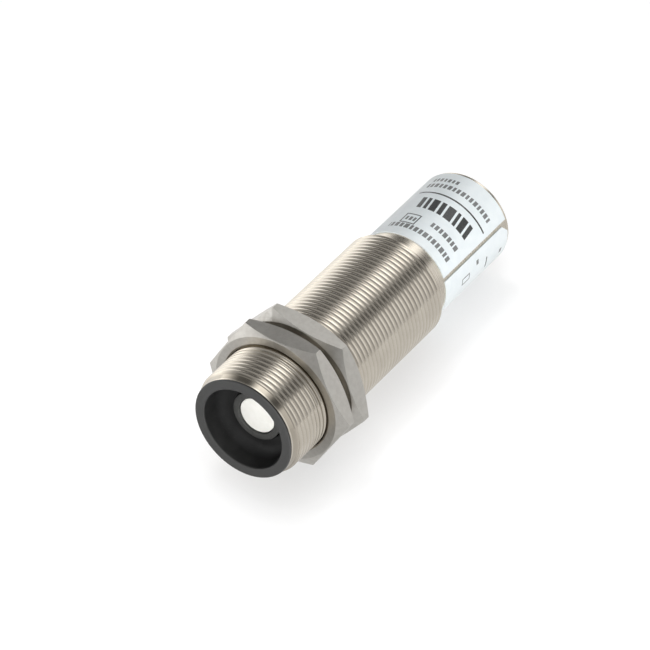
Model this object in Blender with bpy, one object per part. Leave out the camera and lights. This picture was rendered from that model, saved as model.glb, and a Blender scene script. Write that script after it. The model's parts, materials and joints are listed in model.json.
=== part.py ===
"""Ultrasonic level sensor in a threaded metal barrel, with its two lock nuts.

The barrel lies along X, the sensing face looks towards +X and Z is up. The origin is the middle
of the sensing face, the plane that every level is measured from. All sizes are in metres. A
station is a distance behind the sensing face, so stations grow towards -X.
"""

from math import cos, pi, radians, sin, tan

import bmesh
import bpy
from mathutils import Vector

# Clearances
SEAT = 0.0003
NUT_CLEARANCE = 0.00025
LABEL_CLEARANCE = 0.00015

# Barrel
THREAD_DIAMETER = 0.030
THREAD_PITCH = 0.0015
THREAD_LENGTH = 0.0651
THREAD_LEAD_IN = 0.0019
THREAD_FADE_TURNS = 0.5
FRONT_WALL = 0.00118
SLEEVE_STEP = 0.00103
SLEEVE_LENGTH = 0.0348
SLEEVE_WALL = 0.00105
BARREL_EDGE = 0.0003

# Lock nuts
NUT_WALL = 0.003
NUT_THICKNESS = 0.0054
NUT_FACE_INSET = 0.0003
NUT_CHAMFER_ANGLE = radians(30)
NUT_COUNTERSINK = 0.0004
FRONT_NUT_STATION = 0.0143
NUT_SPACING = 0.0018
FRONT_NUT_TURN = radians(35)
REAR_NUT_TURN = radians(25)

# Horn, the moulded front piece
FLANGE_THICKNESS = 0.0006
FLANGE_SETBACK = 0.0009
FLANGE_EDGE = 0.0004
HORN_WALL = 0.00115
HORN_DRAFT = 0.0002
HORN_DEPTH = 0.007
HORN_COVE = 0.0028
HORN_FLOOR = 0.00135
HORN_REAR_LIP = 0.0037
SEAL_THICKNESS = 0.0012
SEAL_SETBACK = 0.0022

# Transducer
FACE_THICKNESS = 0.0024
FACE_RECESS = 0.0005
BOOT_WALL = 0.0016
BOOT_STAND = 0.0011
BOOT_LIP = 0.0019
BOOT_LIP_THICKNESS = 0.0012
BOOT_LENGTH = 0.0069
PIEZO_THICKNESS = 0.002
FOAM_THICKNESS = 0.0033
RETAINER_THICKNESS = 0.0016
LEAD_DIAMETER = 0.0008
LEAD_SHARE = 0.45
LEAD_PAD = 0.0035

# Board and its carrier
CARRIER_WALL = 0.0014
CARRIER_RING = 0.003
BOARD_THICKNESS = 0.0016
BOARD_LEDGE = 0.001
PEG_LENGTH = 0.0018
PEG_INSET = 0.008
CHIP_LENGTH = 0.005
CHIP_WIDTH = 0.004
CHIP_HEIGHT = 0.0016
CHIP_LEAD_COUNT = 4
CHIP_LEAD_REACH = 0.001
CHIP_LEAD_SINK = 0.0002
CHIP_LEAD_WIDTH = 0.0005
CHIP_LEAD_THICKNESS = 0.00025
CHIP_SHARE = 0.4
CONTROLLER_WIDTH = 0.010
CONTROLLER_LEAD_COUNT = 6
CAPACITOR_DIAMETER = 0.0063
CAPACITOR_HEIGHT = 0.0072
CRYSTAL_LENGTH = 0.0109
CRYSTAL_WIDTH = 0.0043
CRYSTAL_HEIGHT = 0.0035
CRYSTAL_FOOT = 0.00043
TRANSFORMER_LENGTH = 0.0095
TRANSFORMER_WIDTH = 0.0092
TRANSFORMER_HEIGHT = 0.0072
TRANSFORMER_EDGE = 0.0004
WINDING_SHARE = 0.65
PROBE_DIAMETER = 0.0048
PROBE_FLAT = radians(29)
PROBE_SHARE = 0.49
HEADER_LENGTH = 0.005
HEADER_HEIGHT = 0.0046
WIRE_PITCH = 0.0025
WIRE_HOLE = 0.0014
WIRE_COUNT = 5

# Rear end
PLUG_THICKNESS = 0.0095
PLUG_RECESS = 0.0012
CABLE_DIAMETER = 0.006
BUSHING_WALL = 0.0011
BUSHING_LIP = 0.002
BUSHING_LIP_THICKNESS = 0.0024
BUSHING_REACH = 0.0048
BUSHING_TAPER = 0.0005

# Label
NECK_LENGTH = 0.0042
REAR_RIM = 0.0011
LABEL_THICKNESS = 0.00015
LABEL_SEAM = radians(-64.5)
SEAM_WIDTH = 0.0011
SEAM_CORNER = 0.0022

# Facets round a turned piece
THREAD_FACETS = 32
NUT_FACETS = 48
TURNED_FACETS = 36
RING_FACETS = 32
SMALL_FACETS = 16
HOLE_FACETS = 8
LABEL_FACETS = 42
EDGE_STEPS = 3
COVE_STEPS = 4
SEAL_STEPS = 8
BEND_STEPS = 8
ROUND_END_STEPS = 6
PROBE_STEPS = 12

# What follows from the sizes above
THREAD_DEPTH = 0.6134 * THREAD_PITCH
THREAD_RADIUS = THREAD_DIAMETER / 2
THREAD_ROOT = THREAD_RADIUS - THREAD_DEPTH
SOCKET_RADIUS = THREAD_ROOT - FRONT_WALL
SLEEVE_RADIUS = THREAD_ROOT - SLEEVE_STEP
BORE_RADIUS = SLEEVE_RADIUS - SLEEVE_WALL

HORN_RADIUS = SOCKET_RADIUS - SEAT
FLANGE_RADIUS = THREAD_RADIUS - FLANGE_SETBACK
RECESS_RADIUS = HORN_RADIUS - HORN_WALL
COVE_RADIUS = RECESS_RADIUS - HORN_DRAFT - HORN_COVE
BOOT_RADIUS = COVE_RADIUS - HORN_FLOOR - SEAT
BOOT_BORE = BOOT_RADIUS - BOOT_WALL
FACE_RADIUS = BOOT_BORE - SEAT
LEAD_OFFSET = LEAD_SHARE * FACE_RADIUS
SEAL_STATION = HORN_DEPTH + SEAL_SETBACK
BOOT_FRONT = HORN_DEPTH - BOOT_STAND
BOOT_REAR = BOOT_FRONT + BOOT_LENGTH
BOOT_SHOULDER = BOOT_REAR - BOOT_LIP_THICKNESS
FACE_FRONT = BOOT_FRONT + FACE_RECESS
PIEZO_FRONT = FACE_FRONT + FACE_THICKNESS + SEAT
FOAM_FRONT = PIEZO_FRONT + PIEZO_THICKNESS + SEAT
FOAM_REAR = FOAM_FRONT + FOAM_THICKNESS
RETAINER_FRONT = BOOT_REAR + SEAT
HORN_POCKET = BOOT_RADIUS + BOOT_LIP + SEAT
HORN_REAR = BOOT_SHOULDER - SEAT + HORN_REAR_LIP

BARREL_FRONT = FLANGE_THICKNESS + SEAT
THREAD_START = BARREL_FRONT + THREAD_LEAD_IN
THREAD_END = THREAD_START + THREAD_LENGTH
BARREL_REAR = THREAD_END + SLEEVE_LENGTH
SOCKET_REAR = HORN_REAR + SEAT

NUT_HALF_WIDTH = THREAD_RADIUS + NUT_WALL
NUT_BORE = THREAD_RADIUS + NUT_CLEARANCE
REAR_NUT_STATION = FRONT_NUT_STATION + NUT_THICKNESS + NUT_SPACING

PLUG_RADIUS = BORE_RADIUS - SEAT
PLUG_REAR = BARREL_REAR - PLUG_RECESS
PLUG_FRONT = PLUG_REAR - PLUG_THICKNESS
CABLE_BORE = CABLE_DIAMETER / 2 + SEAT
BUSHING_RADIUS = CABLE_BORE + BUSHING_WALL
CARRIER_FRONT = SOCKET_REAR + SEAT
CARRIER_REAR = PLUG_FRONT - SEAT
CARRIER_RADIUS = BORE_RADIUS - SEAT
CARRIER_BORE = CARRIER_RADIUS - CARRIER_WALL
BOARD_FRONT = CARRIER_FRONT + CARRIER_RING + SEAT
BOARD_REAR = CARRIER_REAR - CARRIER_RING - SEAT
BOARD_LENGTH = BOARD_REAR - BOARD_FRONT
BOARD_HALF_WIDTH = CARRIER_BORE + BOARD_LEDGE
BOARD_TOP = BOARD_THICKNESS / 2
PART_FLOOR = BOARD_TOP + SEAT
CONTROLLER_REACH = CONTROLLER_WIDTH + 2 * CHIP_LEAD_REACH
CRYSTAL_REACH = CRYSTAL_WIDTH + 2 * CRYSTAL_FOOT
HEADER_WIDTH = WIRE_PITCH * WIRE_COUNT


def clear_scene():
    """Removes whatever the file opened with."""
    for item in list(bpy.data.objects):
        bpy.data.objects.remove(item, do_unlink=True)


def finish(name, color, roughness, metallic=0.0):
    """Makes a Principled material."""
    material = bpy.data.materials.new(name)
    material.use_nodes = True
    shader = material.node_tree.nodes["Principled BSDF"]
    shader.inputs["Base Color"].default_value = (*color, 1.0)
    shader.inputs["Roughness"].default_value = roughness
    shader.inputs["Metallic"].default_value = metallic
    material.diffuse_color = (*color, 1.0)
    return material


def add(name, data, material, location=(0, 0, 0), rotation=(0, 0, 0)):
    """Links a new object that wears one material."""
    item = bpy.data.objects.new(name, data)
    bpy.context.collection.objects.link(item)
    if material:
        data.materials.append(material)
    item.location = location
    item.rotation_euler = rotation
    return item


def to_mesh(name, shape, smooth=True):
    """Closes a bmesh into mesh data with outward faces."""
    bmesh.ops.remove_doubles(shape, verts=shape.verts, dist=1e-7)
    bmesh.ops.recalc_face_normals(shape, faces=shape.faces)
    mesh = bpy.data.meshes.new(name)
    shape.to_mesh(mesh)
    shape.free()
    if smooth:
        mesh.shade_smooth()
        mesh.set_sharp_from_angle(angle=radians(32))
    return mesh


def station(behind):
    """The point on the barrel's axis a distance behind the sensing face."""
    return Vector((-behind, 0, 0))


def arc(center, radius, start, end, steps):
    """Points of an arc in a profile, its centre given as (behind, radius)."""
    behind, out = center
    angles = [start + (end - start) * n / steps for n in range(steps + 1)]
    return [(behind - radius * cos(angle), out + radius * sin(angle)) for angle in angles]


def turned(name, profile, facets=TURNED_FACETS):
    """Spins a profile of (behind, radius) points round X; it is closed unless it meets the axis."""
    shape = bmesh.new()
    points = [shape.verts.new((-behind, 0, out)) for behind, out in profile]
    edges = [shape.edges.new(pair) for pair in zip(points, points[1:])]
    if profile[0][1] > 0:
        edges.append(shape.edges.new((points[-1], points[0])))
    bmesh.ops.spin(shape, geom=points + edges, cent=(0, 0, 0), axis=(1, 0, 0), angle=2 * pi,
                   steps=facets, use_merge=True)
    return to_mesh(name, shape)


def extruded(name, outline, height, smooth=False):
    """Lifts a flat outline of (x, y) points from z = 0 to a height."""
    shape = bmesh.new()
    face = shape.faces.new([shape.verts.new((x, y, 0)) for x, y in outline])
    lifted = bmesh.ops.extrude_face_region(shape, geom=[face])
    moved = [part for part in lifted["geom"] if isinstance(part, bmesh.types.BMVert)]
    bmesh.ops.translate(shape, verts=moved, vec=(0, 0, height))
    return to_mesh(name, shape, smooth)


def block(name, length, width, height):
    """A plain block that stands on z = 0, its middle over the origin."""
    x, y = length / 2, width / 2
    return extruded(name, [(-x, -y), (x, -y), (x, y), (-x, y)], height)


def combine(item, mesh, operation, location=(0, 0, 0), rotation=(0, 0, 0)):
    """Joins, cuts or trims an object with a second shape that stays hidden beside it."""
    tool = add(f"{item.name}.{mesh.name}", mesh, None, location, rotation)
    tool.parent = item
    tool.hide_render = True
    tool.display_type = "WIRE"
    change = item.modifiers.new(mesh.name, "BOOLEAN")
    change.operation = operation
    change.solver = "EXACT"
    change.object = tool
    return tool


def bevel(item, width, angle=40):
    """Rounds the edges of an object that are sharper than an angle in degrees."""
    change = item.modifiers.new("edge", "BEVEL")
    change.width = width
    change.segments = 1
    change.limit_method = "ANGLE"
    change.angle_limit = radians(angle)


def bridge(shape, first, second):
    """Joins two rings of points with a band of faces."""
    count = len(first)
    for n in range(count):
        after = (n + 1) % count
        shape.faces.new((first[n], first[after], second[after], second[n]))


def thread_band(shape, front, rear, ring_point):
    """Cuts the helical thread between two rings of points and closes the ends of its helix.

    One strip, a pitch wide, winds from the front ring to the rear one. Its root line is shared
    by neighbouring turns. The ridge rises from nothing at one end and sinks back at the other,
    so the wedges that fill the two ends are flat.
    """
    facets = len(front)
    steps = round((THREAD_LENGTH / THREAD_PITCH - 1) * facets)
    lead = THREAD_LENGTH / (1 + steps / facets)
    fade = THREAD_FADE_TURNS * facets
    root = []
    for n in range(steps + facets + 1):
        if n == 0:
            root.append(front[0])
        elif n == steps + facets:
            root.append(rear[n % facets])
        else:
            root.append(ring_point(n, THREAD_START + lead * n / facets, THREAD_ROOT))
    crest = []
    for n in range(steps + 1):
        height = THREAD_DEPTH * min(1, n / fade, (steps - n) / fade)
        place = THREAD_START + lead * (n / facets + 0.5)
        crest.append(ring_point(n, place, THREAD_ROOT + height))
    for n in range(steps):
        shape.faces.new((root[n], crest[n], crest[n + 1], root[n + 1]))
        shape.faces.new((crest[n], root[n + facets], root[n + facets + 1], crest[n + 1]))

    shape.faces.new((front[0], root[1], front[1]))
    for n in range(1, facets - 1):
        shape.faces.new((front[n], root[n], root[n + 1], front[n + 1]))
    shape.faces.new((front[-1], root[facets - 1], root[facets], crest[0], root[0]))

    def behind(n):
        return rear[n % facets]

    shape.faces.new((root[steps], root[steps + 1], behind(steps + 1), behind(steps), crest[steps]))
    for n in range(steps + 1, steps + facets - 1):
        shape.faces.new((root[n], root[n + 1], behind(n + 1), behind(n)))
    last = steps + facets - 1
    shape.faces.new((root[last], root[last + 1], behind(last)))


def barrel(metal):
    """The barrel: thread outside, a socket for the horn in front and a plain sleeve behind.

    Its points go round from the top towards +Y as they go back, which makes the thread
    right-handed.
    """
    shape = bmesh.new()

    def ring_point(n, behind, out):
        angle = 2 * pi * n / THREAD_FACETS
        return shape.verts.new((-behind, out * sin(angle), out * cos(angle)))

    def ring(behind, out):
        return [ring_point(n, behind, out) for n in range(THREAD_FACETS)]

    front = ring(THREAD_START, THREAD_ROOT)
    rear = ring(THREAD_END, THREAD_ROOT)
    thread_band(shape, front, rear, ring_point)
    behind_thread = [
        rear,
        ring(THREAD_END + SLEEVE_STEP / 2, SLEEVE_RADIUS),
        ring(BARREL_REAR - BARREL_EDGE, SLEEVE_RADIUS),
        ring(BARREL_REAR, SLEEVE_RADIUS - BARREL_EDGE),
        ring(BARREL_REAR, BORE_RADIUS + BARREL_EDGE),
        ring(BARREL_REAR - BARREL_EDGE, BORE_RADIUS),
        ring(SOCKET_REAR, BORE_RADIUS),
        ring(SOCKET_REAR, SOCKET_RADIUS),
        ring(BARREL_FRONT, SOCKET_RADIUS),
        ring(BARREL_FRONT, THREAD_ROOT - BARREL_EDGE),
        ring(BARREL_FRONT + BARREL_EDGE, THREAD_ROOT),
        front,
    ]
    for first, second in zip(behind_thread, behind_thread[1:]):
        bridge(shape, first, second)
    return add("barrel", to_mesh("barrel", shape), metal)


def lock_nut(name, place, turn, metal):
    """A hexagon nut chamfered on both faces: a turned blank trimmed to six flats."""
    face_radius = NUT_HALF_WIDTH - NUT_FACE_INSET
    corner = NUT_HALF_WIDTH / cos(pi / 6)
    blank_radius = corner + NUT_CLEARANCE
    slope = (blank_radius - face_radius) * tan(NUT_CHAMFER_ANGLE)
    blank = [
        (0, NUT_BORE + NUT_COUNTERSINK),
        (0, face_radius),
        (slope, blank_radius),
        (NUT_THICKNESS - slope, blank_radius),
        (NUT_THICKNESS, face_radius),
        (NUT_THICKNESS, NUT_BORE + NUT_COUNTERSINK),
        (NUT_THICKNESS - NUT_COUNTERSINK, NUT_BORE),
        (NUT_COUNTERSINK, NUT_BORE),
    ]
    nut = add(name, turned(name, blank, NUT_FACETS), metal, station(place), (turn, 0, 0))
    outline = [(corner * cos(n * pi / 3), corner * sin(n * pi / 3)) for n in range(6)]
    flats = extruded("flats", outline, 2 * NUT_THICKNESS)
    combine(nut, flats, "INTERSECT", (NUT_THICKNESS / 2, 0, 0), (0, -pi / 2, 0))
    return nut


def sensor_horn(plastic):
    """The horn: a rim over the barrel's end, a coved recess and a plug that holds the boot."""
    groove = SEAL_THICKNESS / 2 + SEAT
    groove_floor = HORN_RADIUS - SEAL_THICKNESS - SEAT
    cove_center = (HORN_DEPTH - HORN_COVE, COVE_RADIUS)
    edge_center = (FLANGE_EDGE, FLANGE_RADIUS - FLANGE_EDGE)
    profile = [
        (0, RECESS_RADIUS),
        *arc(edge_center, FLANGE_EDGE, 0, pi / 2, EDGE_STEPS),
        (FLANGE_THICKNESS, FLANGE_RADIUS),
        (FLANGE_THICKNESS, HORN_RADIUS),
        (SEAL_STATION - groove, HORN_RADIUS),
        (SEAL_STATION - groove, groove_floor),
        (SEAL_STATION + groove, groove_floor),
        (SEAL_STATION + groove, HORN_RADIUS),
        (HORN_REAR, HORN_RADIUS),
        (HORN_REAR, HORN_POCKET),
        (BOOT_SHOULDER - SEAT, HORN_POCKET),
        (BOOT_SHOULDER - SEAT, BOOT_RADIUS + SEAT),
        (HORN_DEPTH, BOOT_RADIUS + SEAT),
        *arc(cove_center, HORN_COVE, pi, pi / 2, COVE_STEPS),
    ]
    return add("sensor_horn", turned("sensor_horn", profile), plastic)


def horn_seal(rubber):
    """The O-ring in the horn's groove."""
    section = SEAL_THICKNESS / 2
    middle = (0, HORN_RADIUS - section)
    loop = arc(middle, section, 0, 2 * pi, SEAL_STEPS)[:-1]
    return add("horn_seal", turned("horn_seal", loop, RING_FACETS), rubber, station(SEAL_STATION))


def transducer_boot(rubber):
    """The rubber collar that carries the transducer, with a lip behind the horn's shoulder."""
    edge = BOOT_WALL / 6
    profile = [
        (0, BOOT_BORE),
        (0, BOOT_RADIUS - edge),
        (edge, BOOT_RADIUS),
        (BOOT_SHOULDER - BOOT_FRONT, BOOT_RADIUS),
        (BOOT_SHOULDER - BOOT_FRONT, BOOT_RADIUS + BOOT_LIP),
        (BOOT_LENGTH, BOOT_RADIUS + BOOT_LIP),
        (BOOT_LENGTH, BOOT_BORE),
    ]
    mesh = turned("transducer_boot", profile, RING_FACETS)
    return add("transducer_boot", mesh, rubber, station(BOOT_FRONT))


def disc(name, place, radius, thickness, material):
    """A round disc on the axis, its front at a station."""
    profile = [(0, 0), (0, radius), (thickness, radius), (thickness, 0)]
    return add(name, turned(name, profile, RING_FACETS), material, station(place))


def backing_foam(foam):
    """The damping pad, drilled for the two leads."""
    pad = disc("backing_foam", FOAM_FRONT, FACE_RADIUS, FOAM_THICKNESS, foam)
    radius, through = LEAD_DIAMETER / 2 + SEAT, 2 * FOAM_THICKNESS
    hole = [(0, 0), (0, radius), (through, radius), (through, 0)]
    for side in (-1, 1):
        place = (FOAM_THICKNESS / 2, side * LEAD_OFFSET, 0)
        combine(pad, turned(f"hole{side}", hole, HOLE_FACETS), "DIFFERENCE", place)
    return pad


def transducer_retainer(plastic):
    """The ring that holds the boot's lip in the horn."""
    outside = HORN_POCKET - SEAT
    profile = [(0, BOOT_BORE), (0, outside), (RETAINER_THICKNESS, outside),
               (RETAINER_THICKNESS, BOOT_BORE)]
    mesh = turned("transducer_retainer", profile, RING_FACETS)
    return add("transducer_retainer", mesh, plastic, station(RETAINER_FRONT))


def transducer_lead(name, side, copper):
    """A lead from the ceramic's back through the foam, down to its pad on the board."""
    radius = LEAD_DIAMETER / 2
    start = FOAM_FRONT
    end = BOARD_FRONT + LEAD_PAD
    lie = BOARD_TOP + SEAT + radius
    straight = FOAM_REAR
    curve = bpy.data.curves.new(name, "CURVE")
    curve.dimensions = "3D"
    curve.bevel_depth = radius
    curve.bevel_resolution = 2
    curve.use_fill_caps = True
    points = [(start, 0)]
    for n in range(BEND_STEPS + 1):
        share = n / BEND_STEPS
        place = straight + (BOARD_FRONT - SEAT - straight) * share
        points.append((place, lie * share * share * (3 - 2 * share)))
    points.append((end, lie))
    spline = curve.splines.new("POLY")
    spline.points.add(len(points) - 1)
    for point, (behind, height) in zip(spline.points, points):
        point.co = (-behind, side * LEAD_OFFSET, height, 1)
    return add(name, curve, copper)


def peg_places():
    """Where the carrier's pegs stand, as stations."""
    return [BOARD_FRONT + PEG_INSET, BOARD_REAR - PEG_INSET]


def board_carrier(plastic):
    """A tube cut open above the board, with a ring left at each end and pegs beside the board."""
    length = CARRIER_REAR - CARRIER_FRONT
    tube = [(0, CARRIER_BORE), (0, CARRIER_RADIUS), (length, CARRIER_RADIUS), (length, CARRIER_BORE)]
    carrier = add("board_carrier", turned("board_carrier", tube), plastic, station(CARRIER_FRONT))
    window = block("window", length - 2 * CARRIER_RING, 3 * CARRIER_RADIUS, 2 * CARRIER_RADIUS)
    sill = -BOARD_TOP - SEAT
    combine(carrier, window, "DIFFERENCE", (-length / 2, 0, sill))
    peg_width = BOARD_LEDGE - SEAT
    peg_middle = CARRIER_BORE + SEAT + peg_width / 2
    sink = CARRIER_WALL / 2
    for n, place in enumerate(peg_places()):
        for side in (-1, 1):
            peg = block(f"peg{n}{side}", PEG_LENGTH, peg_width, BOARD_THICKNESS + sink)
            spot = (CARRIER_FRONT - place, side * peg_middle, sill - sink)
            combine(carrier, peg, "UNION", spot)
    return carrier


def circuit_board(laminate):
    """The board, notched at its sides for the carrier's pegs."""
    notch = PEG_LENGTH / 2 + SEAT
    inner = CARRIER_BORE
    side = [(-BOARD_FRONT, BOARD_HALF_WIDTH)]
    for place in peg_places():
        side += [(-place + notch, BOARD_HALF_WIDTH), (-place + notch, inner),
                 (-place - notch, inner), (-place - notch, BOARD_HALF_WIDTH)]
    side.append((-BOARD_REAR, BOARD_HALF_WIDTH))
    outline = side + [(x, -y) for x, y in reversed(side)]
    mesh = extruded("circuit_board", outline, BOARD_THICKNESS)
    return add("circuit_board", mesh, laminate, (0, 0, -BOARD_TOP))


def row_on_board(lengths):
    """Spots for parts of these lengths, in a row along the board with equal gaps."""
    gap = (BOARD_LENGTH - sum(lengths)) / (len(lengths) + 1)
    spots = []
    edge = BOARD_FRONT + gap
    for length in lengths:
        spots.append(Vector((-edge - length / 2, 0, PART_FLOOR)))
        edge += length + gap
    return spots


def beside(spot, share):
    """The spot moved towards +Y by a share of the board's half width."""
    return spot + Vector((0, share * BOARD_HALF_WIDTH, 0))


def toothed_side(start, end, count, tooth, reach):
    """One side of a chip's leads, walked from start to end with its leads to the right."""
    run = end - start
    along = run.normalized()
    outward = Vector((along.y, -along.x))
    points = [start]
    for n in range(count):
        middle = start + run * (n + 0.5) / count
        root, tip = middle - along * tooth / 2, middle + along * tooth / 2
        points += [root, root + outward * reach, tip + outward * reach, tip]
    return points


def chip(name, spot, length, width, pins, plastic):
    """A chip with flat leads on its long sides, or on all four where pins names both counts."""
    x, y = length / 2 - CHIP_LEAD_SINK, width / 2 - CHIP_LEAD_SINK
    corners = [Vector((-x, -y)), Vector((x, -y)), Vector((x, y)), Vector((-x, y))]
    outline = []
    for n, start in enumerate(corners):
        outline += toothed_side(start, corners[(n + 1) % 4], pins[n % 2], CHIP_LEAD_WIDTH,
                                CHIP_LEAD_SINK + CHIP_LEAD_REACH)
    mesh = extruded(name, [(point.x, point.y) for point in outline], CHIP_LEAD_THICKNESS)
    item = add(name, mesh, plastic, spot)
    body = block("body", length, width, CHIP_HEIGHT - CHIP_LEAD_THICKNESS / 2)
    combine(item, body, "UNION", (0, 0, CHIP_LEAD_THICKNESS / 2))
    return item


def capacitor(name, spot, metal):
    """A can with a crimped groove above its foot and a round shoulder on top."""
    radius = CAPACITOR_DIAMETER / 2
    crimp = radius / 8
    profile = [
        (0, 0),
        (0, radius),
        (3 * crimp, radius),
        (4 * crimp, radius - crimp),
        (5 * crimp, radius),
        (CAPACITOR_HEIGHT - crimp, radius),
        (CAPACITOR_HEIGHT, radius - crimp),
        (CAPACITOR_HEIGHT, 0),
    ]
    return add(name, turned(name, profile, SMALL_FACETS), metal, spot, (0, pi / 2, 0))


def crystal(spot, metal):
    """A flat can with round ends on a thin foot flange."""
    def stadium(grow):
        half = (CRYSTAL_LENGTH - CRYSTAL_WIDTH) / 2
        radius = CRYSTAL_WIDTH / 2 + grow
        points = []
        for end, start in ((half, -pi / 2), (-half, pi / 2)):
            for n in range(ROUND_END_STEPS + 1):
                angle = start + pi * n / ROUND_END_STEPS
                points.append((end + radius * cos(angle), radius * sin(angle)))
        return points

    mesh = extruded("crystal", stadium(CRYSTAL_FOOT), CRYSTAL_FOOT, True)
    item = add("crystal", mesh, metal, spot, (0, 0, pi / 2))
    can = extruded("can", stadium(0), CRYSTAL_HEIGHT - CRYSTAL_FOOT / 2, True)
    combine(item, can, "UNION", (0, 0, CRYSTAL_FOOT / 2))
    return item


def temperature_sensor(spot, plastic):
    """A round-backed sensor with one flat face."""
    radius = PROBE_DIAMETER / 2
    outline = []
    for n in range(PROBE_STEPS + 1):
        angle = pi / 2 - PROBE_FLAT + (pi + 2 * PROBE_FLAT) * n / PROBE_STEPS
        outline.append((radius * cos(angle), radius * sin(angle)))
    mesh = extruded("temperature_sensor", outline, PROBE_DIAMETER, True)
    return add("temperature_sensor", mesh, plastic, spot)


def pulse_transformer(spot, ferrite):
    """A ferrite core with its winding bulging from both sides."""
    core = block("pulse_transformer", TRANSFORMER_LENGTH, TRANSFORMER_WIDTH / 2, TRANSFORMER_HEIGHT)
    item = add("pulse_transformer", core, ferrite, spot)
    height = TRANSFORMER_HEIGHT * WINDING_SHARE
    winding = block("winding", TRANSFORMER_LENGTH * WINDING_SHARE, TRANSFORMER_WIDTH, height)
    combine(item, winding, "UNION", (0, 0, (TRANSFORMER_HEIGHT - height) / 2))
    bevel(item, TRANSFORMER_EDGE)
    return item


def cable_header(spot, plastic):
    """The terminal block, with one hole for each wire of the cable, open to the rear."""
    mesh = block("cable_header", HEADER_LENGTH, HEADER_WIDTH, HEADER_HEIGHT)
    item = add("cable_header", mesh, plastic, spot)
    hole = [(0, 0), (0, WIRE_HOLE / 2), (HEADER_LENGTH, WIRE_HOLE / 2), (HEADER_LENGTH, 0)]
    for n in range(WIRE_COUNT):
        sideways = (n - (WIRE_COUNT - 1) / 2) * WIRE_PITCH
        place = (0, sideways, HEADER_HEIGHT / 2)
        combine(item, turned(f"wire{n}", hole, HOLE_FACETS), "DIFFERENCE", place)
    return item


def rear_plug(resin):
    """The plug that closes the barrel, stepped for the bushing's lip."""
    lip = BUSHING_LIP_THICKNESS + 2 * SEAT
    pocket = BUSHING_RADIUS + BUSHING_LIP + SEAT
    profile = [
        (0, pocket),
        (0, PLUG_RADIUS),
        (PLUG_THICKNESS, PLUG_RADIUS),
        (PLUG_THICKNESS, BUSHING_RADIUS + SEAT),
        (lip, BUSHING_RADIUS + SEAT),
        (lip, pocket),
    ]
    return add("rear_plug", turned("rear_plug", profile), resin, station(PLUG_FRONT))


def cable_bushing(rubber):
    """The inlet that the cable leaves through: a lip inside the plug and a short tapered collar."""
    start = PLUG_FRONT + SEAT
    length = BARREL_REAR + BUSHING_REACH - start
    edge = BUSHING_WALL / 3
    tip = BUSHING_RADIUS - BUSHING_TAPER
    profile = [
        (0, CABLE_BORE),
        (0, BUSHING_RADIUS + BUSHING_LIP),
        (BUSHING_LIP_THICKNESS, BUSHING_RADIUS + BUSHING_LIP),
        (BUSHING_LIP_THICKNESS, BUSHING_RADIUS),
        (BARREL_REAR - start, BUSHING_RADIUS),
        (length - edge, tip),
        (length, tip - edge),
        (length, CABLE_BORE),
    ]
    return add("cable_bushing", turned("cable_bushing", profile, RING_FACETS), rubber, station(start))


def label(film):
    """The label round the sleeve: open at its seam, with one rear corner cut off."""
    inside = SLEEVE_RADIUS + LABEL_CLEARANCE
    outside = inside + LABEL_THICKNESS
    front = THREAD_END + NECK_LENGTH
    rear = BARREL_REAR - REAR_RIM
    half_gap = SEAM_WIDTH / 2 / outside
    corner = SEAM_CORNER / outside
    columns = LABEL_FACETS
    rows = [(front, 0.0), (rear - SEAM_CORNER, 0.0), (rear, corner)]
    shape = bmesh.new()

    def sheet(radius):
        grid = []
        for behind, cut in rows:
            start = LABEL_SEAM + half_gap
            end = LABEL_SEAM + 2 * pi - half_gap - cut
            angles = [start + (end - start) * n / columns for n in range(columns + 1)]
            grid.append([shape.verts.new((-behind, -radius * sin(angle), radius * cos(angle)))
                         for angle in angles])
        return grid

    upper, lower = sheet(outside), sheet(inside)
    for grid in (upper, lower):
        for line, following in zip(grid, grid[1:]):
            for n in range(columns):
                shape.faces.new((line[n], line[n + 1], following[n + 1], following[n]))
    for n in range(columns):
        shape.faces.new((upper[0][n], upper[0][n + 1], lower[0][n + 1], lower[0][n]))
        shape.faces.new((upper[-1][n], upper[-1][n + 1], lower[-1][n + 1], lower[-1][n]))
    for row in range(len(rows) - 1):
        for n in (0, columns):
            shape.faces.new((upper[row][n], upper[row + 1][n], lower[row + 1][n], lower[row][n]))
    return add("label", to_mesh("label", shape), film)


def build_front():
    """The horn and all that it holds."""
    black = finish("horn black", (0.055, 0.055, 0.058), 0.45)
    rubber = finish("boot rubber", (0.05, 0.05, 0.05), 0.7)
    copper = finish("tinned copper", (0.7, 0.66, 0.6), 0.35, 1.0)
    sensor_horn(black)
    horn_seal(finish("seal rubber", (0.02, 0.02, 0.02), 0.6))
    transducer_boot(rubber)
    disc("matching_layer", FACE_FRONT, FACE_RADIUS, FACE_THICKNESS,
         finish("matching white", (0.92, 0.91, 0.87), 0.6))
    disc("piezo_disc", PIEZO_FRONT, FACE_RADIUS, PIEZO_THICKNESS,
         finish("ceramic", (0.75, 0.7, 0.58), 0.5))
    backing_foam(finish("foam", (0.2, 0.2, 0.22), 0.9))
    transducer_retainer(finish("retainer", (0.12, 0.12, 0.12), 0.5))
    transducer_lead("transducer_lead_a", 1, copper)
    transducer_lead("transducer_lead_b", -1, copper)


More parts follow.
